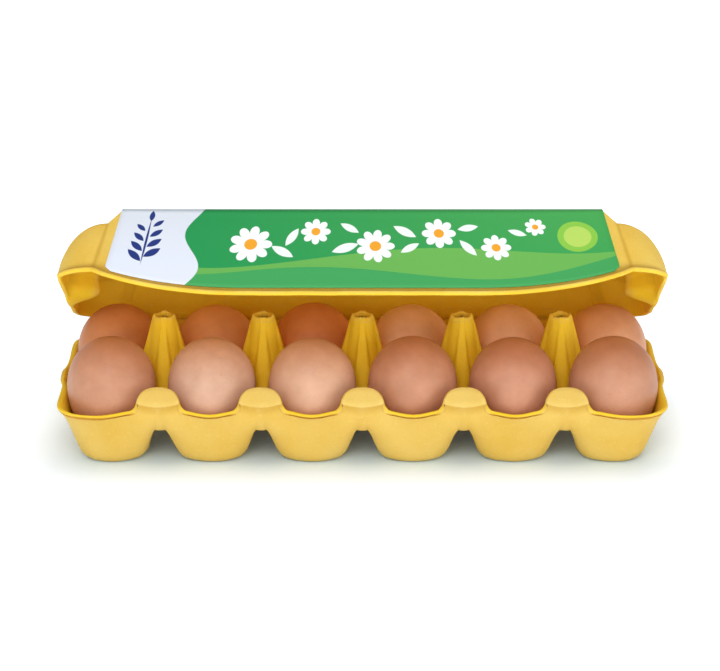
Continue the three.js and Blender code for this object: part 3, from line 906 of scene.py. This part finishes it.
def open_lid(point):
    """Turns a point of the closed lid about the hinge to where it rests."""
    y = point.y - HINGE_Y
    z = point.z - HINGE_Z
    cos, sin = math.cos(REST_OPENING), math.sin(REST_OPENING)
    return Vector((point.x, HINGE_Y + y * cos + z * sin, HINGE_Z - y * sin + z * cos))


def steps(start, end, count):
    return [mix(start, end, k / count) for k in range(count)]


def lid_stations(fineness):
    """Places (x, turn) from the left end of the lid to its right end."""
    edge_start = PANEL_HALF - PANEL_EDGE_HALF
    edge_end = PANEL_HALF + PANEL_EDGE_HALF
    panel = steps(0, edge_start, PANEL_STEPS * fineness)
    panel += steps(edge_start, edge_end, PANEL_EDGE_STEPS)
    panel += steps(edge_end, DOME_START, SHOULDER_STEPS * fineness)
    half = [(x, 0) for x in panel]
    for degrees in steps(0, 90, DOME_STEPS * fineness) + [90]:
        turn = math.radians(degrees)
        half.append((mix(DOME_START, LID_HALF_LENGTH, math.sin(turn)), turn))
    mirrored = [(-x, turn) for x, turn in reversed(half[1:])]
    return mirrored + half


def grid_faces(columns, rows):
    faces = []
    for i in range(columns - 1):
        for k in range(rows - 1):
            corner = i * rows + k
            faces.append((corner, corner + rows, corner + rows + 1, corner + 1))
    return faces


def build_lid(material):
    fineness = 4
    stops = [lid_stop(at) for at in steps(0, LAST_STOP, LAST_STOP * fineness) + [LAST_STOP]]
    points = []
    painted_shades = []
    stations = lid_stations(fineness)
    for x, turn in stations:
        row = [lid_point(x, turn, stop) for stop in stops]
        lip = [row[0] + Vector((0, -LID_LIP * share, 0)) for share in (1, 0.5)]
        points += lip + row
        # Painted shade along the crease where the panel meets each dome, and on the domes towards
        # their tops.
        painted_shade = max(0, 1 - abs(abs(x) - DOME_START) / CREASE_SHADE_WIDTH)
        crest = max(point.z for point in row)
        for point in lip + row:
            top = max(0, 1 - (crest - point.z) / DOME_SHADE_DEPTH) if abs(x) > DOME_START else 0
            painted_shades.append(max(painted_shade, DOME_SHADE * top))
    faces = grid_faces(len(stations), len(stops) + 2)
    points = roughen(points, point_normals(points, faces), *LID_UNEVEN, 2)
    shell, closed, sources, depths = thicken(points, faces, LID_PULP)
    lid = new_object("lid_pulp", [open_lid(point) for point in shell], closed, material)
    paint(lid, "inside", depths)
    paint(lid, "painted_shade", [painted_shades[source] * (1 - depth) for source, depth in zip(sources, depths)])
    paint(lid, "edge", sharpness(lid, EDGE_ROUNDS))
    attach(lid, "lid")
    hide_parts("lid")


def build_label():
    """The label follows the raised panel of the lid from above the lip to near its back."""
    columns = LABEL_COLUMNS
    rows = LABEL_ROWS
    first = stop_at(LABEL_LOW_Y)
    last = stop_at(LABEL_BACK)
    section = [lid_stop(mix(first, last, k / rows)) for k in range(rows + 1)]
    middle = [lid_point(0, 0, stop) for stop in section]
    lengths = [0]
    for here, following in zip(middle, middle[1:]):
        lengths.append(lengths[-1] + (following - here).length)
    total = lengths[-1]
    fold = next(length for length, stop in zip(lengths, section) if stop[0] > LABEL_FOLD_Y)
    points = []
    places = []
    for i in range(columns + 1):
        share = mix(-1, 1, i / columns)
        for k, stop in enumerate(section):
            from_end = min(lengths[k], total - lengths[k], LABEL_CORNER)
            rounding = LABEL_CORNER - math.sqrt(LABEL_CORNER**2 - (LABEL_CORNER - from_end) ** 2)
            x = share * (PANEL_HALF - rounding)
            points.append(lid_point(x, 0, stop))
            places.append((x, lengths[k]))
    faces = grid_faces(columns + 1, rows + 1)
    normals = point_normals(points, faces)
    raised = LABEL_LIFT + LABEL_THICKNESS
    points = [point + normal * raised for point, normal in zip(points, normals)]
    shell, closed, sources, _ = thicken(points, faces, LABEL_THICKNESS)
    paper = label_material(total, fold)
    label = new_object("label_paper", [open_lid(point) for point in shell], closed, paper)
    layer = label.data.uv_layers.new(name="print")
    for loop in label.data.loops:
        x, along = places[sources[loop.vertex_index]]
        layer.data[loop.index].uv = (0.5 + x / (2 * PANEL_HALF), along / total)
    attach(label, "lid")
    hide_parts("label")


def build_hinge(material):
    """The thin bent strip of pulp that joins the tray's back wall to the lid."""
    half = column_x(CUPS_PER_ROW - 1) + STRIP_OVERHANG
    below = Vector((0, ROW_OFFSET + HINGE_WALL_REACH - STRIP_INSET, HINGE_Z - STRIP_DROP))
    joint = Vector((0, HINGE_Y - STRIP_JOINT_INSET, HINGE_Z))
    above = open_lid(Vector(STRIP_LID_POINT))
    profile = [mix(below, joint, k / STRIP_STEPS) for k in range(STRIP_STEPS)]
    profile += [mix(joint, above, k / STRIP_STEPS) for k in range(STRIP_STEPS + 1)]
    points = []
    for i in range(STRIP_COLUMNS + 1):
        x = mix(-half, half, i / STRIP_COLUMNS)
        points += [Vector((x, point.y, point.z)) for point in profile]
    faces = [tuple(reversed(face)) for face in grid_faces(STRIP_COLUMNS + 1, len(profile))]
    shell, closed, _, _ = thicken(points, faces, STRIP_THICKNESS)
    strip = new_object("hinge_strip", shell, closed, material)
    # The strip takes half of the inner skins' painted bounce light.
    paint(strip, "inside", [0.5] * len(shell))
    paint(strip, "edge", [0.0] * len(shell))
    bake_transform(strip)


# Eggs


def build_egg(name, centre_x, centre_y, size, seed, material):
    """An egg with its blunt end up, a little uneven as real ones are."""
    around_count = 72
    ring_count = 52
    radius = EGG_RADIUS * size
    length = EGG_LENGTH * size
    foot = PULP + EGG_GAP
    shift = Vector((seed * EGG_SEED_SHIFT, 0, 0))
    points = [Vector((centre_x, centre_y, foot))]
    for ring in range(1, ring_count):
        t = -math.cos(math.pi * ring / ring_count)
        width = radius * math.sqrt(1 - t * t) * (1 + EGG_BLUNTNESS * t)
        for k in range(around_count):
            angle = 2 * math.pi * k / around_count
            spot = Vector((math.cos(angle), math.sin(angle), t))
            uneven = 1 + EGG_UNEVEN * noise.noise(spot * EGG_SWELLING + shift)
            x = centre_x + width * uneven * math.cos(angle)
            y = centre_y + width * uneven * math.sin(angle)
            points.append(Vector((x, y, foot + length * (t + 1) / 2)))
    points.append(Vector((centre_x, centre_y, foot + length)))
    top = len(points) - 1
    faces = []
    for k in range(around_count):
        following = (k + 1) % around_count
        faces.append((0, 1 + following, 1 + k))
        last = 1 + (ring_count - 2) * around_count
        faces.append((last + k, last + following, top))
        for ring in range(ring_count - 2):
            low = 1 + ring * around_count
            high = low + around_count
            faces.append((low + k, low + following, high + following, high + k))
    egg = new_object(f"{name}_shell", points, faces, material)
    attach(egg, "tray")
    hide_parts(name)


# Materials


class Shader:
    """Adds nodes to a material or node group; each call returns the new node's output."""

    def __init__(self, tree):
        self.tree = tree

    def node(self, kind, output=0, inputs=None, **settings):
        node = self.tree.nodes.new(kind)
        for key, value in settings.items():
            setattr(node, key, value)
        for key, value in (inputs or {}).items():
            self.feed(node.inputs[key], value)
        return node.outputs[output]

    def feed(self, socket, value):
        if isinstance(value, bpy.types.NodeSocket):
            self.tree.links.new(value, socket)
        else:
            socket.default_value = value

    def math(self, operation, a, b=0.0):
        return self.node("ShaderNodeMath", inputs={0: a, 1: b}, operation=operation)

    def plus(self, a, b):
        return self.math("ADD", a, b)

    def minus(self, a, b):
        return self.math("SUBTRACT", a, b)

    def times(self, a, b):
        return self.math("MULTIPLY", a, b)

    def over(self, a, b):
        return self.math("DIVIDE", a, b)

    def absolute(self, value):
        return self.math("ABSOLUTE", value)

    def parts(self, vector):
        """The x, y and z of a vector."""
        split = self.tree.nodes.new("ShaderNodeSeparateXYZ")
        self.feed(split.inputs[0], vector)
        return split.outputs

    def attribute(self, name):
        return self.node("ShaderNodeAttribute", output="Fac", attribute_name=name)

    def coordinates(self, kind="Object"):
        return self.node("ShaderNodeTexCoord", output=kind)

    def moved(self, place, offset):
        return self.node("ShaderNodeMapping", inputs={"Vector": place, "Location": offset})

    def remap(self, value, low, high, to_low=0.0, to_high=1.0):
        inputs = {"Value": value, 1: low, 2: high, 3: to_low, 4: to_high}
        return self.node("ShaderNodeMapRange", inputs=inputs)

    def blend(self, share, a, b, mode="MIX"):
        node = self.tree.nodes.new("ShaderNodeMix")
        node.data_type = "RGBA"
        node.blend_type = mode
        for socket, value in ((node.inputs[0], share), (node.inputs[6], a), (node.inputs[7], b)):
            self.feed(socket, value)
        return node.outputs[2]

    def ink(self, base, mask, tint, share=1):
        """Lays a colour over another through a mask."""
        return self.blend(mask if share == 1 else self.times(mask, share), base, tint)

    def noise(self, where, scale, detail=3.0, roughness=0.55):
        inputs = {"Vector": where, "Scale": scale, "Detail": detail, "Roughness": roughness}
        return self.node("ShaderNodeTexNoise", inputs=inputs)

    def spread(self, value, low=0.0, high=1.0):
        """Stretches a noise to a range of its own."""
        return self.remap(value, *NOISE_RANGE, low, high)

    def dress(self, surface, base, uneven, relief, finish):
        """Gives a surface its colour, and a finish that follows a noise and a relief."""
        (smooth, rough), gloss, (strength, distance) = finish
        inputs = {"Height": relief, "Strength": strength, "Distance": distance}
        self.feed(surface.inputs["Base Color"], base)
        self.feed(surface.inputs["Roughness"], self.spread(uneven, smooth, rough))
        self.feed(surface.inputs["Specular IOR Level"], gloss)
        self.feed(surface.inputs["Normal"], self.node("ShaderNodeBump", inputs=inputs))


def new_material(name):
    material = bpy.data.materials.new(name)
    material.use_nodes = True
    tree = material.node_tree
    return material, Shader(tree), tree.nodes["Principled BSDF"]


def add_lug_ledge(shader, place, inside):
    """Where a tray lug's cap begins: one mask for the cap, painted paler as if lit, one for the
    painted shade below its crease.
    """
    x, y, z = (shader.over(value, MM) for value in shader.parts(place))
    number = shader.math("ROUND", shader.over(x, CUP_PITCH))
    across = shader.minus(x, shader.times(number, CUP_PITCH))
    share = shader.over(across, LUG_HALF_WIDTH)
    bow = shader.times(shader.times(share, share), LUG_TIP_HEIGHT - LUG_CREASE_HEIGHT)
    above = shader.minus(shader.minus(z, bow), LUG_CREASE_HEIGHT)
    within = shader.remap(shader.absolute(share), *LUG_SIDE_FADE)
    last = CUPS_PER_ROW / 2 - 0.5
    within = shader.times(within, shader.remap(shader.absolute(number), last, last - 0.1))
    within = shader.times(within, shader.remap(y, *LUG_FRONT_FADE))
    within = shader.times(within, shader.minus(1, inside))
    cap = shader.times(shader.remap(above, *CAP_FADE), within)
    below = shader.remap(above, *LEDGE_FADE)
    under = shader.times(below, shader.remap(above, *LEDGE_DEPTH_FADE))
    return cap, shader.times(under, within)


def pulp_material(name, seed, bright, deep):
    """Dyed moulded pulp: matt and finely fibrous, with painted bounce light on its inner skin,
    painted light on the lugs' caps, painted shade under their creases, in hollows and where the lid
    marks it, and paleness along sharp edges, partly wear and partly a painted highlight.
    """
    material, shader, surface = new_material(name)
    place = shader.coordinates()
    moved = shader.moved(place, (seed, seed * 2, 0))
    fibre = shader.noise(moved, *PULP_FIBRE)
    grit = shader.noise(moved, *PULP_GRIT)
    shade = shader.spread(shader.noise(moved, *PULP_CLOUD))
    inside = shader.attribute("inside")
    edge = shader.attribute("edge")
    outer = shader.blend(shade, deep, bright)
    # The inner skin takes a more saturated yellow: painted bounce light.
    inner = shader.blend(shade, PULP_PAINTED_BOUNCE_DEEP, PULP_PAINTED_BOUNCE_BRIGHT)
    base = shader.blend(inside, outer, inner)
    cap, under = add_lug_ledge(shader, place, inside)
    edge_pale_patches = shader.remap(fibre, *EDGE_PALE_FIBRE_FADE, *EDGE_PALE_FIBRE_FADE)
    # Mask, colour and share of ink: flecks and pits are the pulp's own; the rest is painted light and
    # shade, except that the sharp edges' paleness is partly wear.
    layers = [
        (shader.remap(fibre, *FLECK_FADE), PULP_FLECK_AND_PAINTED_LIGHT, 0.22),
        (shader.remap(grit, *PIT_FADE), PULP_PIT_AND_PAINTED_SHADE, 0.2),
        (cap, PULP_FLECK_AND_PAINTED_LIGHT, 0.12),
        (under, PULP_PIT_AND_PAINTED_SHADE, 0.6),
        (shader.attribute("painted_shade"), PULP_PIT_AND_PAINTED_SHADE, 0.5),
        (shader.times(shader.remap(edge, *EDGE_WEAR_AND_HIGHLIGHT_FADE), edge_pale_patches), PULP_WEAR_AND_HIGHLIGHT, 1),
        (shader.remap(edge, *HOLLOW_SHADE_FADE), PULP_PIT_AND_PAINTED_SHADE, 0.6),
    ]
    for mask, tint, share in layers:
        base = shader.ink(base, mask, tint, share)
    relief = shader.plus(shader.times(fibre, 0.7), shader.times(grit, 0.3))
    relief = shader.plus(relief, shader.times(cap, 1.5))
    shader.dress(surface, base, fibre, relief, PULP_FINISH)
    return material


def scaled(tint, factors):
    return (*(part * factor for part, factor in zip(tint, factors)), 1)


def egg_material(name, shell, seed, top_shade_share):
    """A brown eggshell: mottled, finely speckled and pored, with a soft satin sheen."""
    material, shader, surface = new_material(name)
    place = shader.coordinates()
    moved = shader.moved(place, (seed * 0.37, seed * 0.21, seed * 0.13))
    factor, lift = SHELL_LIGHT
    light = (*(min(1, part * factor + lift) for part in shell[:3]), 1)
    mottle = shader.noise(moved, *SHELL_MOTTLE)
    base = shader.blend(shader.spread(mottle), scaled(shell, SHELL_DARK), light)
    speckle = shader.remap(shader.noise(moved, *SHELL_SPECKLE), *SPECKLE_FADE)
    patches = shader.remap(shader.noise(moved, *SHELL_PATCHES), *PATCH_FADE)
    spots = shader.times(speckle, patches)
    base = shader.ink(base, spots, scaled(shell, SPOT_DARK), SPOT_SHARE)
    # Painted shade: darker towards the top, for the front eggs.
    height = shader.over(shader.parts(place)[2], MM)
    top_shade = shader.remap(height, EGG_TOP_SHADE_LOW, EGG_TOP_SHADE_HIGH, 0, top_shade_share)
    base = shader.blend(top_shade, base, EGG_TOP_SHADE_TINT, mode="MULTIPLY")
    surface.inputs["Subsurface Weight"].default_value = 0.08
    surface.inputs["Subsurface Radius"].default_value = (0.004, 0.002, 0.001)
    shader.dress(surface, base, mottle, shader.noise(moved, *SHELL_PORES), SHELL_FINISH)
    return material


def motif_group(name, numbers):
    """A node group for one kind of motif: where on the print it is, then its own numbers."""
    group = bpy.data.node_groups.new(name, "ShaderNodeTree")
    for number in ("u", "v", "x", "y", *numbers):
        group.interface.new_socket(number, in_out="INPUT", socket_type="NodeSocketFloat")
    group.interface.new_socket("mask", in_out="OUTPUT", socket_type="NodeSocketFloat")
    inputs = group.nodes.new("NodeGroupInput")
    output = group.nodes.new("NodeGroupOutput")
    shader = Shader(group)
    given = inputs.outputs
    across = shader.minus(given["u"], given["x"])
    up = shader.minus(given["v"], given["y"])
    return group, shader, given, output.inputs[0], across, up


def shape_mask(shader, distance):
    """Turns a signed distance in millimetres into ink inside and none outside."""
    return shader.remap(distance, PRINT_EDGE, -PRINT_EDGE)


def leaf_group():
    """A pointed leaf: length and width about a middle, turned by an angle."""
    group, shader, given, result, across, up = motif_group("leaf", ["turn", "length", "width"])
    cosine = shader.math("COSINE", given["turn"])
    sine = shader.math("SINE", given["turn"])
    right = shader.times(across, cosine)
    along = shader.plus(right, shader.times(up, sine))
    left = shader.times(up, cosine)
    aside = shader.minus(left, shader.times(across, sine))
    share = shader.over(shader.times(along, 2.0), given["length"])
    taper = shader.minus(1.0, shader.times(share, share))
    half = shader.times(shader.times(given["width"], 0.5), taper)
    distance = shader.minus(shader.absolute(aside), half)
    shader.feed(result, shape_mask(shader, distance))
    return group


def flower_group():
    """A round flower with petals; no petals makes it a plain disc."""
    group, shader, given, result, across, up = motif_group("flower", ["radius", "petals", "cut"])
    squares = shader.plus(shader.times(across, across), shader.times(up, up))
    reach = shader.math("SQRT", squares)
    angle = shader.math("ARCTAN2", up, across)
    half_turns = shader.times(angle, shader.times(given["petals"], 0.5))
    wave = shader.math("POWER", shader.absolute(shader.math("COSINE", half_turns)), PETAL_ROUNDNESS)
    lost = shader.times(shader.minus(1.0, wave), given["cut"])
    outline = shader.times(given["radius"], shader.minus(1.0, lost))
    shader.feed(result, shape_mask(shader, shader.minus(reach, outline)))
    return group


def sprig_leaves():
    """Pairs of leaves up the sprig's stem, smaller towards its tip, and one at the tip."""
    leaves = []
    for pair in range(SPRIG_PAIRS):
        for side in (-1, 1):
            x = SPRIG_X + SPRIG_REACH * side
            y = SPRIG_LOW + SPRIG_SPACING * pair + SPRIG_STAGGER * side
            leaves.append((x, y, 90 - SPRIG_SPREAD * side, SPRIG_LEAF - SPRIG_TAPER * pair))
    return leaves + [SPRIG_TIP]


def label_material(length, fold):
    """Coated paper with a plain meadow print: pale field, green hills, daisies and leaves."""
    material, shader, surface = new_material("label_paper")
    across, up, _ = shader.parts(shader.node("ShaderNodeUVMap", uv_map="print"))
    u = shader.times(shader.minus(across, 0.5), 2 * PANEL_HALF)
    v = shader.times(up, length)
    leaf = leaf_group()
    flower = flower_group()

    def stamp(group, *numbers):
        node = shader.tree.nodes.new("ShaderNodeGroup")
        node.node_tree = group
        for socket, value in zip(node.inputs, (u, v, *numbers)):
            shader.feed(socket, value)
        return node.outputs[0]

    def leaf_mark(x, y, turn, size, width_share):
        return stamp(leaf, x, y, math.radians(turn), size, size * width_share)

    def below_curve(height, swing, wavelength, phase):
        wave = shader.math("SINE", shader.plus(shader.over(u, wavelength), phase))
        line = shader.plus(shader.times(wave, swing), height)
        return shape_mask(shader, shader.minus(v, line))

    along = shader.remap(u, -PANEL_HALF, PANEL_HALF)
    base = shader.blend(along, GREEN_LEFT, GREEN_RIGHT)
    base = shader.blend(shader.remap(v, 0, LOW_FIELD_TOP, LOW_GREEN_SHARE, 0), base, GREEN_LOW)
    for *curve, tint, share in HILLS:
        base = shader.ink(base, below_curve(*curve), tint, share)
    for radius, tint, share in DISC_RINGS:
        base = shader.ink(base, stamp(flower, *DISC_PLACE, radius, 0, 0), tint, share)
    for placing in WHITE_LEAVES:
        base = shader.ink(base, leaf_mark(*placing, LEAF_WIDTH_SHARE), LEAF_WHITE)
    for x, y, radius, petals in DAISIES:
        base = shader.ink(base, stamp(flower, x, y, radius, petals, PETAL_CUT), PETAL_WHITE)
        base = shader.ink(base, stamp(flower, x, y, radius * HEART_SHARE, 0, 0), FLOWER_GOLD)
    wave = shader.times(shader.math("SINE", shader.times(v, BORDER_RATE)), BORDER_SWING)
    border = shader.minus(shader.minus(u, BORDER_X), wave)
    # Painted shade: the pale field darkens upwards.
    paper = shader.blend(shader.remap(v, LOW_FIELD_START, LOW_FIELD_TOP), PAPER_LOW, PAPER_HIGH)
    base = shader.ink(base, shape_mask(shader, border), paper)
    for placing in sprig_leaves():
        base = shader.ink(base, leaf_mark(*placing, SPRIG_WIDTH_SHARE), SPRIG_BLUE)
    base = shader.ink(base, stamp(leaf, *SPRIG_STEM), SPRIG_BLUE)
    # Painted shade along the fold over the lid's front edge.
    fold_shade = shader.remap(shader.absolute(shader.minus(v, fold)), *FOLD_SHADE_FADE, 0, FOLD_SHADE_SHARE)
    base = shader.blend(fold_shade, base, FOLD_SHADE_TINT, mode="MULTIPLY")
    place = shader.coordinates()
    grain = shader.noise(place, *PAPER_GRAIN)
    wrinkles = shader.noise(place, *PAPER_WRINKLES)
    relief = shader.plus(shader.times(wrinkles, 0.8), shader.times(grain, 0.04))
    shader.dress(surface, base, grain, relief, PAPER_FINISH)
    return material


# The tray and hinge take the shaded copy of the pulp and the lid the lit one: painted shade and
# light.
tray_pulp = pulp_material("tray_pulp", 1.0, TRAY_SHADED_BRIGHT, TRAY_SHADED_DEEP)
lid_pulp = pulp_material("lid_pulp", 4.0, LID_LIT_BRIGHT, LID_LIT_DEEP)
build_tray(tray_pulp)
build_lid(lid_pulp)
build_label()
build_hinge(tray_pulp)
for row, (row_y, first_seed, top_shade_share, eggs) in EGG_ROWS.items():
    for index, (size, tint) in enumerate(eggs):
        name = f"egg_{row}_{index + 1}"
        seed = first_seed + index
        shell = egg_material(name, colour(*tint), seed, top_shade_share)
        build_egg(name, column_x(index), row_y, size, seed, shell)


# Floor, light and camera


def build_floor():
    material, shader, surface = new_material("floor")
    place = shader.coordinates()
    cloud = shader.noise(place, *FLOOR_CLOUD)
    tone = shader.blend(cloud, (0.86, 0.93, 1, 1), (0.88, 0.95, 1, 1))
    x, y, _ = shader.parts(place)
    beyond = []
    for value, middle, half in ((x, 0, FOOTPRINT_X), (y, FOOTPRINT_Y, FOOTPRINT_DEPTH)):
        off = shader.absolute(shader.minus(value, middle))
        beyond.append(shader.math("MAXIMUM", shader.minus(off, half), 0))
    squares = [shader.times(value, value) for value in beyond]
    away = shader.math("SQRT", shader.plus(*squares))
    # Painted shade: a darker, bluer patch under the carton.
    tone = shader.blend(shader.remap(away, 0.03, 0), tone, (0.68, 0.86, 1, 1))
    shader.feed(surface.inputs["Base Color"], tone)
    surface.inputs["Roughness"].default_value = 0.9
    # The floor glows like a lamp, least next to the carton, which paints a soft shadow around it.
    surface.inputs["Emission Color"].default_value = (0.94, 0.98, 1, 1)
    near = shader.remap(away, 0.006, 0.045, 0.02, 0.5)
    glow = shader.plus(near, shader.remap(away, 0.1, 0.35, 0, 0.35))
    shader.feed(surface.inputs["Emission Strength"], glow)
    mesh = bpy.data.meshes.new("floor")
    corners = [(x * FLOOR_REACH, y * FLOOR_REACH, 0) for x, y in ((-1, -1), (1, -1), (1, 1), (-1, 1))]
    mesh.from_pydata(corners, [], [(0, 1, 2, 3)])
    mesh.materials.append(material)
    floor = add_object("floor", mesh)


def add_light(name, place, aim_height, size, watts):
    """A round soft lamp that points at the carton's middle."""
    light = bpy.data.lights.new(name, "AREA")
    light.shape = "DISK"
    light.size = size
    light.energy = watts
    lamp = add_object(name, light)
    lamp.location = place
    aim = Vector((0, 0, aim_height)) - Vector(place)
    lamp.rotation_euler = aim.to_track_quat("-Z", "Y").to_euler()


def build_world():
    """Even light from the front, falling off behind and overhead."""
    world = bpy.data.worlds.new("studio")
    world.use_nodes = True
    shader = Shader(world.node_tree)
    _, y, _ = shader.parts(shader.coordinates("Generated"))
    background = shader.tree.nodes["Background"]
    background.inputs["Color"].default_value = (0.93, 0.96, 1, 1)
    shader.feed(background.inputs["Strength"], shader.remap(y, 0.5, -0.7, 0.3, 0.86))
    bpy.context.scene.world = world


def build_camera():
    camera = bpy.data.cameras.new("camera")
    camera.lens = CAMERA_LENS
    camera.sensor_width = CAMERA_SENSOR
    viewer = add_object("camera", camera)
    back = CAMERA_DISTANCE * math.cos(CAMERA_DOWN) - CAMERA_AIM_HEIGHT * math.sin(CAMERA_DOWN)
    up = CAMERA_DISTANCE * math.sin(CAMERA_DOWN) + CAMERA_AIM_HEIGHT * math.cos(CAMERA_DOWN)
    viewer.location = to_world((CAMERA_X, -back, up))
    viewer.rotation_euler = (math.pi / 2 - CAMERA_DOWN, 0, 0)
    bpy.context.scene.camera = viewer


build_floor()
build_camera()
for lamp in LAMPS:
    add_light(*lamp)
build_world()
bpy.context.scene.view_settings.view_transform = "Standard"
